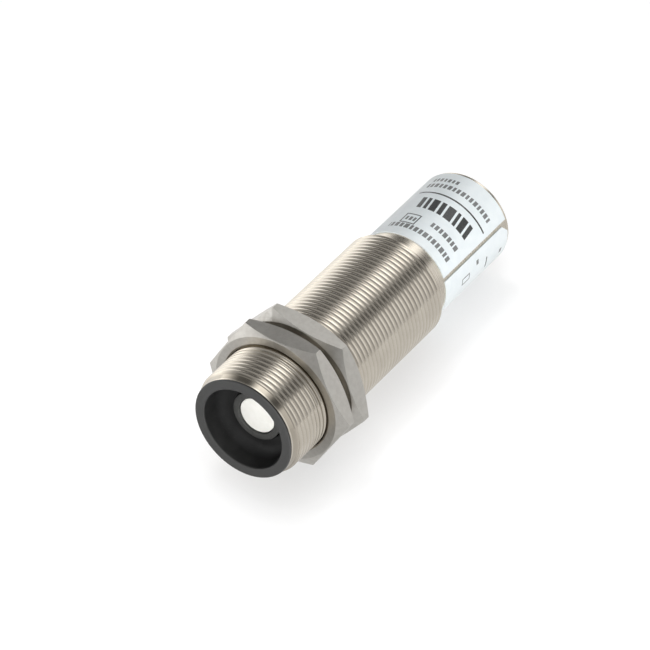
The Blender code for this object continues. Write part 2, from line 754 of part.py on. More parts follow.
def build_electronics():
    """The carrier, the board and the parts that stand on it."""
    chip_black = finish("chip black", (0.03, 0.03, 0.03), 0.5)
    can = finish("can", (0.7, 0.7, 0.72), 0.3, 1.0)
    board_carrier(finish("carrier", (0.25, 0.25, 0.27), 0.6))
    circuit_board(finish("laminate", (0.03, 0.22, 0.1), 0.5))
    pads, core, chips, first_can, second_can, controller, clock, rear = row_on_board((
        LEAD_PAD, TRANSFORMER_LENGTH, CHIP_LENGTH, CAPACITOR_DIAMETER, CAPACITOR_DIAMETER,
        CONTROLLER_REACH, CRYSTAL_REACH, HEADER_LENGTH))
    temperature_sensor(beside(pads, PROBE_SHARE), chip_black)
    pulse_transformer(core, finish("ferrite", (0.1, 0.09, 0.09), 0.6))
    for name, share in (("driver_chip", CHIP_SHARE), ("amplifier_chip", -CHIP_SHARE)):
        chip(name, beside(chips, share), CHIP_LENGTH, CHIP_WIDTH, (CHIP_LEAD_COUNT, 0), chip_black)
    capacitor("capacitor_a", first_can, can)
    capacitor("capacitor_b", second_can, can)
    chip("controller_chip", controller, CONTROLLER_WIDTH, CONTROLLER_WIDTH,
         (CONTROLLER_LEAD_COUNT, CONTROLLER_LEAD_COUNT), chip_black)
    crystal(clock, can)
    cable_header(rear, finish("header green", (0.05, 0.3, 0.2), 0.5))


def build_housing():
    """The barrel, its nuts, its rear end and its label."""
    nickel = finish("barrel metal", (0.68, 0.65, 0.6), 0.3, 1.0)
    steel = finish("nut metal", (0.5, 0.49, 0.47), 0.4, 1.0)
    barrel(nickel)
    lock_nut("front_nut", FRONT_NUT_STATION, FRONT_NUT_TURN, steel)
    lock_nut("rear_nut", REAR_NUT_STATION, REAR_NUT_TURN, steel)
    rear_plug(finish("resin", (0.03, 0.03, 0.03), 0.4))
    cable_bushing(finish("bushing rubber", (0.04, 0.04, 0.04), 0.65))
    label(finish("label film", (0.8, 0.86, 0.9), 0.4))


clear_scene()
build_front()
build_electronics()
build_housing()
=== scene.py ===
"""Looks of a threaded ultrasonic level sensor: fine surfaces, finishes, stage and camera.

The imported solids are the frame, and every size is in metres. A station is a distance behind the
sensing face, so stations grow towards -X. An angle round the barrel starts at the top and grows
towards -Y.
"""

import json
import logging
from collections.abc import Sequence
from dataclasses import dataclass, replace
from enum import Enum
from functools import cached_property
from math import cos, degrees, pi, radians, sin, tan

import bmesh
import bpy
from mathutils import Matrix, Vector

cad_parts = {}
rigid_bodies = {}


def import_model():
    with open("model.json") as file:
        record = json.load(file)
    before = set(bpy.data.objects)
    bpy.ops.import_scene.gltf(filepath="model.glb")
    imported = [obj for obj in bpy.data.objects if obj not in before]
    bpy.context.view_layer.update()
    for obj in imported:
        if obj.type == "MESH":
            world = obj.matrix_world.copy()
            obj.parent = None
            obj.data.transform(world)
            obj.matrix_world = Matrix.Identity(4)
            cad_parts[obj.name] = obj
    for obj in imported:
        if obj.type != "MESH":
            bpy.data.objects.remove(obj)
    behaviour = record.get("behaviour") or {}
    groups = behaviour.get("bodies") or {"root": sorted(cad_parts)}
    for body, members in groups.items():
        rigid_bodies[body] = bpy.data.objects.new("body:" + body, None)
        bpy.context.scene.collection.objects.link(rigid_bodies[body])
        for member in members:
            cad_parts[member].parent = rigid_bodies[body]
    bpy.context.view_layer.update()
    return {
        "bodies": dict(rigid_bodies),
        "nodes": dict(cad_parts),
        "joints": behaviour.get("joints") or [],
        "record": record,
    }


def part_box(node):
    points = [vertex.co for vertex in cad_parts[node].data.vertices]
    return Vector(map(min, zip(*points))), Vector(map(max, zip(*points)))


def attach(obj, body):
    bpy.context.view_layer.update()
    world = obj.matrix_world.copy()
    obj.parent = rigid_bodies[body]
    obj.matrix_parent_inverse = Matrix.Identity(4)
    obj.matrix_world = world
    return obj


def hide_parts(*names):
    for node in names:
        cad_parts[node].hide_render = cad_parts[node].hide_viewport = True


LOG = logging.getLogger("sensor_looks")
MILLIMETRE = 0.001
WELD_DISTANCE = 1e-7

Color = tuple[float, float, float]
Place = tuple[float, float, float]
Span = tuple[float, float]
Point = tuple[float, float]
Corner = tuple[float, float, float]
Source = bpy.types.NodeSocket | float | Color


# Shapes


def around(station: float, radius: float, angle: float) -> Vector:
    """Gives a point by its station, its radius and its angle round the barrel in radians."""
    return Vector((-station, -radius * sin(angle), radius * cos(angle)))


def filleted(corners: Sequence[Corner], closed: bool = True, steps: int = 4) -> list[Point]:
    """Rounds the corners of a section.

    Args:
        corners: Station, radius and fillet radius of each corner, in order.
        closed: Whether the last corner joins the first.
        steps: Faces along each fillet.

    Returns:
        Station and radius of each point of the rounded section.
    """
    points: list[Point] = []
    count = len(corners)
    for n, (station, radius, fillet) in enumerate(corners):
        here = Vector((station, radius))
        if fillet == 0 or (not closed and n in (0, count - 1)):
            points.append((station, radius))
            continue
        back = (Vector(corners[n - 1][:2]) - here).normalized()
        onward = (Vector(corners[(n + 1) % count][:2]) - here).normalized()
        half = back.angle(onward) / 2
        middle = here + (back + onward).normalized() * (fillet / sin(half))
        first = here + back * (fillet / tan(half)) - middle
        last = here + onward * (fillet / tan(half)) - middle
        for step in range(steps + 1):
            share = step / steps
            spoke = (first * (1 - share) + last * share).normalized() * fillet
            points.append(tuple(middle + spoke))
    return points


class Surface:
    """Gathers the faces of one piece and makes its object."""

    def __init__(self) -> None:
        """Starts with no points and no faces."""
        self.points: list[Vector] = []
        self.faces: list[list[int]] = []

    def loft(self, sections: Sequence[Sequence[Vector]], joined: bool = True) -> None:
        """Spans faces between closed sections that have as many points each.

        Args:
            sections: The sections, in order round or along the piece.
            joined: Whether the last section meets the first. If not, both ends are capped.
        """
        start, width, count = len(self.points), len(sections[0]), len(sections)
        for section in sections:
            self.points.extend(section)
        for row in range(count if joined else count - 1):
            here, there = start + row * width, start + (row + 1) % count * width
            for n in range(width):
                after = (n + 1) % width
                self.faces.append([here + n, here + after, there + after, there + n])
        if not joined:
            last = start + (count - 1) * width
            self.faces.append([start + n for n in range(width)])
            self.faces.append([last + n for n in range(width)])

    def turn(self, outline: Sequence[Point], facets: int) -> None:
        """Spins an outline round the barrel's axis.

        Args:
            outline: Station and radius of each point. It is closed unless it starts on the axis.
            facets: Faces round the axis.
        """
        rings = []
        for station, radius in outline:
            first = len(self.points)
            copies = facets if radius > 0 else 1
            self.points.extend(around(station, radius, 2 * pi * n / facets) for n in range(copies))
            rings.append([first + n % copies for n in range(facets)])
        pairs = list(zip(rings, rings[1:]))
        if outline[0][1] > 0:
            pairs.append((rings[-1], rings[0]))
        for here, there in pairs:
            for n in range(facets):
                after = (n + 1) % facets
                quad = (here[n], here[after], there[after], there[n])
                self.faces.append(list(dict.fromkeys(quad)))

    def piece(self, name: str, sharp: float = 40.0) -> bpy.types.Object:
        """Makes the object, with outward faces and even shading.

        Args:
            name: The piece's name.
            sharp: Edges with a larger angle than this, in degrees, are shaded sharp.

        Returns:
            The new object.
        """
        mesh = bpy.data.meshes.new(name)
        mesh.from_pydata(self.points, [], self.faces)
        shape = bmesh.new()
        shape.from_mesh(mesh)
        bmesh.ops.remove_doubles(shape, verts=shape.verts, dist=WELD_DISTANCE)
        bmesh.ops.recalc_face_normals(shape, faces=shape.faces)
        shape.to_mesh(mesh)
        shape.free()
        mesh.shade_smooth()
        mesh.set_sharp_from_angle(angle=radians(sharp))
        made = bpy.data.objects.new(name, mesh)
        bpy.context.scene.collection.objects.link(made)
        weighting = made.modifiers.new("even shading", "WEIGHTED_NORMAL")
        weighting.keep_sharp = True
        return made


# Finishes


class Grain(Enum):
    """How the fine structure of a surface runs, as the stretch of its pattern along X, Y, Z."""

    SPECKLED = (1.0, 1.0, 1.0)
    TURNED = (1.0, 0.03, 0.03)
    DRAWN = (0.03, 1.0, 1.0)


class Graph:
    """A tree of shader nodes, with short calls for those that are used most."""

    def __init__(self, owner: bpy.types.Material | bpy.types.World) -> None:
        """Opens the nodes of a material or of the world."""
        owner.use_nodes = True
        self.tree = owner.node_tree

    def node(self, kind: str, **settings: object) -> bpy.types.Node:
        """Adds a node.

        Args:
            kind: The node's type.
            **settings: Properties to set on it.

        Returns:
            The node.
        """
        made = self.tree.nodes.new(kind)
        for name, value in settings.items():
            setattr(made, name, value)
        return made

    def feed(self, socket: bpy.types.NodeSocket, source: Source) -> None:
        """Links a source to a socket, or writes it there if it is a plain value.

        Args:
            socket: The socket.
            source: Another node's output, a number or a colour.
        """
        if isinstance(source, bpy.types.NodeSocket):
            self.tree.links.new(source, socket)
        elif isinstance(source, tuple):
            socket.default_value = (*source, 1.0)
        else:
            socket.default_value = source

    def math(self, operation: str, first: Source, second: Source = 0.0) -> bpy.types.NodeSocket:
        """Adds a calculation with two values.

        Args:
            operation: The math node's operation.
            first: The first value.
            second: The second value.

        Returns:
            The result.
        """
        made = self.node("ShaderNodeMath", operation=operation)
        self.feed(made.inputs[0], first)
        self.feed(made.inputs[1], second)
        return made.outputs[0]

    def place(self, grain: Grain = Grain.SPECKLED) -> bpy.types.NodeSocket:
        """The surface's place in the part, squeezed the way the grain runs.

        Args:
            grain: The way the pattern runs.

        Returns:
            The place.
        """
        where = self.node("ShaderNodeTexCoord").outputs["Object"]
        squeeze = self.node("ShaderNodeVectorMath", operation="MULTIPLY")
        self.feed(squeeze.inputs[0], where)
        squeeze.inputs[1].default_value = grain.value
        return squeeze.outputs[0]

    def radius(self) -> bpy.types.NodeSocket:
        """Measures how far the surface lies from the barrel's axis.

        Returns:
            The distance.
        """
        place = self.parts(self.place())
        across = self.math("MULTIPLY", place[1], place[1])
        up = self.math("MULTIPLY", place[2], place[2])
        return self.math("SQRT", self.math("ADD", across, up))

    def noise(self, size: float, grain: Grain = Grain.SPECKLED,
              detail: float = 3.0) -> bpy.types.NodeSocket:
        """Adds a cloudy pattern.

        Args:
            size: Width of its patches.
            grain: The way it runs.
            detail: Finer layers in it.

        Returns:
            Its value, from 0 to 1.
        """
        made = self.node("ShaderNodeTexNoise")
        self.feed(made.inputs["Vector"], self.place(grain))
        made.inputs["Scale"].default_value = 1 / size
        made.inputs["Detail"].default_value = detail
        return made.outputs["Fac"]

    def spread(self, value: bpy.types.NodeSocket, low: float, high: float, start: float = 0.0,
               end: float = 1.0) -> bpy.types.NodeSocket:
        """Maps the stretch of a value between two limits, and holds it outside them.

        Args:
            value: The value.
            low: Where the stretch starts.
            high: Where it ends.
            start: What low becomes.
            end: What high becomes.

        Returns:
            The mapped value.
        """
        made = self.node("ShaderNodeMapRange", interpolation_type="SMOOTHSTEP")
        for socket, source in zip(made.inputs, (value, low, high, start, end)):
            self.feed(socket, source)
        return made.outputs[0]

    def mix(self, share: Source, first: Source, second: Source) -> bpy.types.NodeSocket:
        """Blends two colours.

        Args:
            share: How much of the second one shows.
            first: The first colour.
            second: The second colour.

        Returns:
            The blend.
        """
        made = self.node("ShaderNodeMix", data_type="RGBA")
        self.feed(made.inputs[0], share)
        self.feed(made.inputs[6], first)
        self.feed(made.inputs[7], second)
        return made.outputs[2]

    def blend(self, share: Source, first: Source, second: Source) -> bpy.types.NodeSocket:
        """Blends two values.

        Args:
            share: How much of the second one counts.
            first: The first value.
            second: The second value.

        Returns:
            The blend.
        """
        made = self.node("ShaderNodeMix", data_type="FLOAT")
        for number, source in ((0, share), (2, first), (3, second)):
            self.feed(made.inputs[number], source)
        return made.outputs[0]

    def curve(self, value: Source, points: Sequence[Point]) -> bpy.types.NodeSocket:
        """Reads a value off a line that is drawn through points.

        Args:
            value: The value.
            points: What it becomes at some of its sizes, in rising order of those.

        Returns:
            The value that was read.
        """
        low, high = points[0][0], points[-1][0]
        share = self.node("ShaderNodeMapRange")
        for socket, source in zip(share.inputs, (value, low, high)):
            self.feed(socket, source)
        made = self.node("ShaderNodeValToRGB")
        self.feed(made.inputs[0], share.outputs[0])
        stops = made.color_ramp.elements
        stops.remove(stops[-1])
        for n, (size, result) in enumerate(points):
            stop = stops.new((size - low) / (high - low)) if n else stops[0]
            stop.color = (result, result, result, 1.0)
        return made.outputs[0]

    def relief(self, height: bpy.types.NodeSocket, depth: float) -> bpy.types.NodeSocket:
        """Presses a pattern into the surface.

        Args:
            height: The pattern.
            depth: How deep it goes.

        Returns:
            The bent normal.
        """
        made = self.node("ShaderNodeBump")
        made.inputs["Distance"].default_value = depth
        self.feed(made.inputs["Height"], height)
        return made.outputs[0]

    def parts(self, vector: bpy.types.NodeSocket) -> bpy.types.NodeOutputs:
        """Splits a vector.

        Args:
            vector: The vector.

        Returns:
            Its X, Y and Z.
        """
        made = self.node("ShaderNodeSeparateXYZ")
        self.feed(made.inputs[0], vector)
        return made.outputs


@dataclass(frozen=True)
class Finish:
    """A finish: two tones in soft patches, a fine grain, and a roughness that varies with the
    grain.
    """

    slot: str
    color: Color
    shade: Color
    roughness: float
    roughness_spread: float = 0.08
    metallic: float = 0.0
    specular: float = 0.5
    coat: float = 0.0
    grain: Grain = Grain.SPECKLED
    grain_size: float = 0.00025
    grain_depth: float = 0.00001
    grain_span: Span = (0.3, 0.7)
    patch_size: float = 0.004
    patch_span: Span = (0.35, 0.65)

    def tone(self, graph: Graph) -> bpy.types.NodeSocket:
        """The surface's colour: its two tones in soft patches."""
        patches = graph.spread(graph.noise(self.patch_size), *self.patch_span)
        return graph.mix(patches, self.color, self.shade)

    def sheen(self, graph: Graph, grain: bpy.types.NodeSocket) -> bpy.types.NodeSocket:
        """The surface's roughness, which follows its grain."""
        low, high = self.roughness - self.roughness_spread, self.roughness + self.roughness_spread
        return graph.spread(grain, *self.grain_span, low, high)

    def material(self) -> bpy.types.Material:
        """Builds the finish.

        Returns:
            The material.
        """
        material = bpy.data.materials.new(self.slot)
        graph = Graph(material)
        shader = graph.tree.nodes["Principled BSDF"].inputs
        grain = graph.noise(self.grain_size, self.grain)
        graph.feed(shader["Base Color"], self.tone(graph))
        graph.feed(shader["Roughness"], self.sheen(graph, grain))
        graph.feed(shader["Normal"], graph.relief(grain, self.grain_depth))
        graph.feed(shader["Metallic"], self.metallic)
        graph.feed(shader["Specular IOR Level"], self.specular)
        graph.feed(shader["Coat Weight"], self.coat)
        return material


@dataclass(frozen=True)
class ThreadedNickel(Finish):
    """Turned and nickelled metal, painted darker and browner down in the thread, as shade in its
    grooves.
    """

    # The colour of the painted shade in the thread's grooves, and how much of it reaches their
    # root.
    groove_shade: Color = (0.30, 0.26, 0.20)
    groove_shade_share: float = 0.5
    root_radius: float = 0.01408
    crest_radius: float = 0.015
    thread_from: float = 0.01398
    sleeve_below: float = 0.01358
    sleeve_roughness: float = 0.13

    def tone(self, graph: Graph) -> bpy.types.NodeSocket:
        """The two tones, with painted shade down in the thread.

        Args:
            graph: The material's nodes.

        Returns:
            The colour.
        """
        radius = graph.radius()
        # Painted shade: a browner, darker tone is mixed in towards the root of the thread's
        # grooves.
        depth = graph.spread(radius, self.root_radius, self.crest_radius, self.groove_shade_share, 0.0)
        thread = graph.math("GREATER_THAN", radius, self.thread_from)
        return graph.mix(graph.math("MULTIPLY", depth, thread), super().tone(graph), self.groove_shade)

    def sheen(self, graph: Graph, grain: bpy.types.NodeSocket) -> bpy.types.NodeSocket:
        """The roughness, which is greater on the plain sleeve behind the thread.

        Args:
            graph: The material's nodes.
            grain: The surface's grain.

        Returns:
            The roughness.
        """
        sleeve = graph.math("LESS_THAN", graph.radius(), self.sleeve_below)
        duller = graph.math("MULTIPLY", sleeve, self.sleeve_roughness)
        return graph.math("ADD", super().sheen(graph, grain), duller)


@dataclass(frozen=True)
class HighlitWornSteel(Finish):
    """Satin steel with a painted highlight along its edges and corners, broken into patches of
    wear.
    """

    edge_highlight_and_wear: Color = (0.80, 0.78, 0.74)
    edge_highlight_and_wear_share: float = 0.7
    edge_span: Span = (0.52, 0.60)
    highlight_patch_size: float = 0.0015
    highlight_patch_span: Span = (0.3, 0.6)

    def tone(self, graph: Graph) -> bpy.types.NodeSocket:
        """The two tones, with a painted highlight and wear along the edges.

        Args:
            graph: The material's nodes.

        Returns:
            The colour.
        """
        # Painted highlight, partly wear: pointiness finds the sharp edges, which are lightened in
        # patches.
        bend = graph.node("ShaderNodeNewGeometry").outputs["Pointiness"]
        edge = graph.spread(bend, *self.edge_span, 0.0, self.edge_highlight_and_wear_share)
        highlight_and_wear_patches = graph.spread(graph.noise(self.highlight_patch_size), *self.highlight_patch_span)
        return graph.mix(graph.math("MULTIPLY", edge, highlight_and_wear_patches), super().tone(graph), self.edge_highlight_and_wear)


@dataclass(frozen=True)
class DustyMoulding(Finish):
    """Dark plastic or rubber with a fine spark grain and specks of dust."""

    dust: Color = (0.30, 0.30, 0.29)
    dust_share: float = 0.25
    dust_size: float = 0.00018
    dust_span: Span = (0.70, 0.78)

    def tone(self, graph: Graph) -> bpy.types.NodeSocket:
        """The two tones, with sparse pale specks on them.

        Args:
            graph: The material's nodes.

        Returns:
            The colour.
        """
        specks = graph.noise(self.dust_size, detail=1.0)
        share = graph.spread(specks, *self.dust_span, 0.0, self.dust_share)
        return graph.mix(share, super().tone(graph), self.dust)


@dataclass(frozen=True)
class RimLitMoulding(DustyMoulding):
    """A dark moulding whose front rim is painted a lighter grey, while its recess stays black as
    painted shade.
    """

    # The lighter grey painted on the front rim.
    rim: Color = (0.062, 0.062, 0.061)
    lit_rim_depth: float = 0.0006

    def tone(self, graph: Graph) -> bpy.types.NodeSocket:
        """The two tones, with the painted lighter grey on the rim.

        Args:
            graph: The material's nodes.

        Returns:
            The colour.
        """
        # Painted light and shade: only the front rim gets the lighter grey, so the deep recess
        # keeps the near-black of shade.
        station = graph.parts(graph.place())[0]
        lit_rim_share = graph.spread(station, -self.lit_rim_depth, -self.lit_rim_depth / 4)
        return graph.mix(lit_rim_share, super().tone(graph), self.rim)


@dataclass(frozen=True)
class SolderMask(Finish):
    """A board's lacquer, with copper tracks that show through it as paler lines."""

    track: Color = (0.08, 0.36, 0.16)
    track_pitch: float = 0.0022
    track_width: float = 0.07
    track_shift: float = 0.37

    def tone(self, graph: Graph) -> bpy.types.NodeSocket:
        """The lacquer's two tones and the tracks.

        Args:
            graph: The material's nodes.

        Returns:
            The colour.
        """
        bricks = graph.node("ShaderNodeTexBrick", offset=self.track_shift)
        graph.feed(bricks.inputs["Vector"], graph.place())
        bricks.inputs["Scale"].default_value = 1 / self.track_pitch
        bricks.inputs["Mortar Size"].default_value = self.track_width
        graph.feed(bricks.inputs["Color1"], (0.0, 0.0, 0.0))
        graph.feed(bricks.inputs["Color2"], (0.0, 0.0, 0.0))
        graph.feed(bricks.inputs["Mortar"], (1.0, 1.0, 1.0))
        return graph.mix(bricks.outputs["Color"], super().tone(graph), self.track)


NICKEL = ThreadedNickel(
    "barrel_metal", (0.72, 0.665, 0.575), (0.67, 0.615, 0.53), 0.15, 0.04, metallic=1.0,
    grain=Grain.TURNED, grain_size=0.00012, grain_depth=0.0000015, patch_size=0.005)
STEEL = HighlitWornSteel(
    "nut_metal", (0.61, 0.59, 0.55), (0.565, 0.545, 0.505), 0.40, 0.05, metallic=1.0,
    grain=Grain.TURNED, grain_size=0.00016, grain_depth=0.000003, patch_size=0.0012)
HORN_BLACK = RimLitMoulding(
    "horn_plastic", (0.018, 0.018, 0.018), (0.014, 0.014, 0.014), 0.50, specular=0.3,
    grain_size=0.00022, grain_depth=0.000008, dust_share=0.12)
BOOT_RUBBER = DustyMoulding(
    "boot_rubber", (0.066, 0.066, 0.063), (0.052, 0.052, 0.050), 0.60,
    grain_size=0.0003, grain_depth=0.000012, dust_share=0.35)
BLACK_RUBBER = DustyMoulding(
    "black_rubber", (0.025, 0.025, 0.025), (0.035, 0.035, 0.034), 0.55,
    grain_size=0.0003, grain_depth=0.00001)
WHITE_FACE = Finish(
    "matching_white", (0.94, 0.93, 0.88), (0.91, 0.90, 0.845), 0.62, 0.06,
    grain_size=0.00016, grain_depth=0.000008, patch_size=0.0015)
CERAMIC = Finish("piezo_ceramic", (0.72, 0.68, 0.56), (0.66, 0.62, 0.50), 0.45)
FOAM = Finish(
    "damping_foam", (0.20, 0.20, 0.22), (0.13, 0.13, 0.14), 0.9, 0.05,
    grain_size=0.0006, grain_depth=0.0002)
CARRIER = DustyMoulding("carrier_plastic", (0.20, 0.20, 0.21), (0.17, 0.17, 0.18), 0.5)
WIRE = Finish(
    "tinned_wire", (0.70, 0.66, 0.58), (0.62, 0.58, 0.52), 0.3, metallic=1.0, grain=Grain.DRAWN)
LAMINATE = SolderMask("board_laminate", (0.03, 0.22, 0.10), (0.025, 0.19, 0.085), 0.35)
CHIP = Finish("chip_plastic", (0.03, 0.03, 0.03), (0.04, 0.04, 0.04), 0.5)
FERRITE = Finish("ferrite_core", (0.10, 0.09, 0.09), (0.07, 0.065, 0.065), 0.55)
CAN = Finish(
    "can_metal", (0.72, 0.72, 0.74), (0.66, 0.66, 0.68), 0.28, metallic=1.0, grain=Grain.DRAWN)
HEADER = Finish("header_plastic", (0.05, 0.30, 0.20), (0.045, 0.26, 0.17), 0.45)
RESIN = Finish(
    "plug_resin", (0.030, 0.030, 0.030), (0.038, 0.038, 0.038), 0.30, 0.05, grain_size=0.0012,
    grain_depth=0.00003)
FILM = Finish(
    "label_film", (0.84, 0.89, 0.905), (0.81, 0.865, 0.885), 0.38, 0.05, coat=0.2,
    grain_size=0.0005, grain_depth=0.000003, patch_size=0.002)
INK = Finish(
    "label_film", (0.035, 0.036, 0.036), (0.055, 0.056, 0.055), 0.42, 0.05, coat=0.2,
    grain_size=0.0002, grain_depth=0.000002, patch_size=0.0004)
PALE_INK = replace(INK, color=(0.16, 0.165, 0.165), shade=(0.22, 0.225, 0.225))


# Sub-assemblies


@dataclass
class SubAssembly:
    """Pieces that belong together: they are built, and then dressed in their finishes."""

    frame: dict

    def build(self) -> list[bpy.types.Object]:
        """Makes the sub-assembly's own pieces and returns them."""
        return []

    def dress(self) -> None:
        """Gives a finish to the solids that stay as they are."""

    def seat(self, piece: bpy.types.Object, body: str, node: str, finish: Finish) -> None:
        """Puts a piece in a solid's place and gives it its finish.

        Args:
            piece: The fine piece.
            body: The body that it rides on.
            node: The solid that it stands for.
            finish: Its finish.
        """
        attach(piece, body)
        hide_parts(node)
        self.wear(piece, finish)

    def wear(self, piece: bpy.types.Object, finish: Finish) -> None:
        """Gives a new piece its finish."""
        piece.data.materials.append(finish.material())

    def coat(self, node: str, finish: Finish) -> None:
        """Gives a solid that stays its finish."""
        for slot in self.frame["nodes"][node].material_slots:
            slot.material = finish.material()


@dataclass
class TurnedParts(SubAssembly):
    """Round pieces, each spun from its section and fixed in the barrel."""

    facets: int = 128

    def turned(self, name: str, node: str, finish: Finish, corners: Sequence[Corner],
               closed: bool = True, steps: int = 4, sharp: float = 40.0) -> bpy.types.Object:
        """Makes a round piece and puts it in a solid's place.

        Args:
            name: The piece's name.
            node: The solid that it stands for.
            finish: Its finish.
            corners: Station, radius and fillet radius of each corner of its section.
            closed: Whether the last corner joins the first.
            steps: Faces along each fillet.
            sharp: Edges with a larger angle than this, in degrees, are shaded sharp.

        Returns:
            The piece.
        """
        surface = Surface()
        surface.turn(filleted(corners, closed, steps), self.facets)
        piece = surface.piece(name, sharp)
        self.seat(piece, "sensor", node, finish)
        return piece


@dataclass
class Barrel(SubAssembly):
    """The barrel: a helical thread in front and a plain sleeve behind it."""

    facets: int = 128
    crest_radius: float = 0.015
    pitch: float = 0.0015
    thread_end: float = 0.0679
    groove_depth: float = 0.00045
    crest_width: float = 0.00055
    flank: float = 0.00038
    crest_round: float = 0.00020
    land_end: float = 0.0026
    land_front_radius: float = 0.01388
    land_radius: float = 0.0143
    land_edge: float = 0.00025
    chamfer: float = radians(42)
    runout: float = radians(63)
    socket_radius: float = 0.0129
    socket_rear: float = 0.0153
    sleeve_radius: float = 0.01305
    bore_radius: float = 0.0120
    edge: float = 0.0003

    def turn_section(self) -> list[Point]:
        """One turn of the thread.

        Returns:
            Distance along the turn and height above the root of each point.
        """
        middle, half = self.pitch / 2, self.crest_width / 2
        corners = [
            (0.0, 0.0, 0.0),
            (middle - half - self.flank, 0.0, 0.0),
            (middle - half, self.groove_depth, self.crest_round),
            (middle + half, self.groove_depth, self.crest_round),
            (middle + half + self.flank, 0.0, 0.0),
            (self.pitch, 0.0, 0.0),
        ]
        return filleted(corners, closed=False, steps=3)[:-1]

    def root(self) -> float:
        """The radius at the bottom of the thread."""
        return self.crest_radius - self.groove_depth

    @cached_property
    def start(self) -> float:
        """The station at which the cone behind the tapered land meets the thread's bottom."""
        return self.land_end + (self.root() - self.land_radius) / tan(self.chamfer)

    def ceiling(self, station: float) -> float:
        """Finds how high the thread may rise under the cones at its two ends.

        Args:
            station: Where along the thread.

        Returns:
            The largest radius there.
        """
        front = self.root() + (station - self.start) * tan(self.chamfer)
        rear = self.root() + (self.thread_end - station) * tan(self.runout)
        return min(front, rear)

    def ring(self, surface: Surface, station: float, radius: float) -> list[int]:
        """Adds a ring of points.

        Args:
            surface: The surface that it is added to.
            station: The ring's station.
            radius: Its radius.

        Returns:
            The numbers of its points.
        """
        first = len(surface.points)
        surface.points.extend(
            around(station, radius, -2 * pi * n / self.facets) for n in range(self.facets))
        return list(range(first, first + self.facets))

    def thread(self, surface: Surface) -> None:
        """Winds the right-handed thread, with a spare turn squeezed flat at each end.

        Args:
            surface: The surface that it is added to.
        """
        section = self.turn_section()
        start = self.start
        turns = round((self.thread_end - start) / self.pitch) + 2
        rows = []
        for n in range(turns * self.facets + 1):
            angle = -2 * pi * n / self.facets
            row = []
            for along, height in section:
                spot = start + self.pitch * (n / self.facets - 1) + along
                station = min(max(spot, start), self.thread_end)
                radius = min(self.root() + height, self.ceiling(station))
                row.append(len(surface.points))
                surface.points.append(around(station, radius, angle))
            rows.append(row)
        for n in range(len(rows) - 1):
            here, there = list(rows[n]), list(rows[n + 1])
            if n + self.facets + 1 < len(rows):
                here.append(rows[n + self.facets][0])
                there.append(rows[n + self.facets + 1][0])
            for spot in range(len(here) - 1):
                surface.faces.append([here[spot], there[spot], there[spot + 1], here[spot + 1]])

    def build(self) -> list[bpy.types.Object]:
        """Makes the barrel as one closed surface.

        Returns:
            The barrel.
        """
        low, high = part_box("barrel")
        front, rear = -high.x, -low.x
        surface = Surface()
        self.thread(surface)
        step = self.root() - self.sleeve_radius
        outline = filleted([
            (self.thread_end, self.root(), 0.0),
            (self.thread_end + step / tan(self.runout), self.sleeve_radius, self.edge),
            (rear, self.sleeve_radius, self.edge),
            (rear, self.bore_radius, self.edge),
            (self.socket_rear, self.bore_radius, self.edge / 3),
            (self.socket_rear, self.socket_radius, self.edge / 3),
            (front, self.socket_radius, self.edge / 3),
            (front, self.land_front_radius, self.land_edge),
            (self.land_end, self.land_radius, self.land_edge),
            (self.start, self.root(), 0.0),
        ], closed=False)
        rings = [self.ring(surface, *point) for point in outline]
        for here, there in zip(rings, rings[1:]):
            for n in range(self.facets):
                after = (n + 1) % self.facets
                surface.faces.append([here[n], here[after], there[after], there[n]])
        barrel = surface.piece("barrel_skin", sharp=50.0)
        self.seat(barrel, "sensor", "barrel", NICKEL)
        return [barrel]


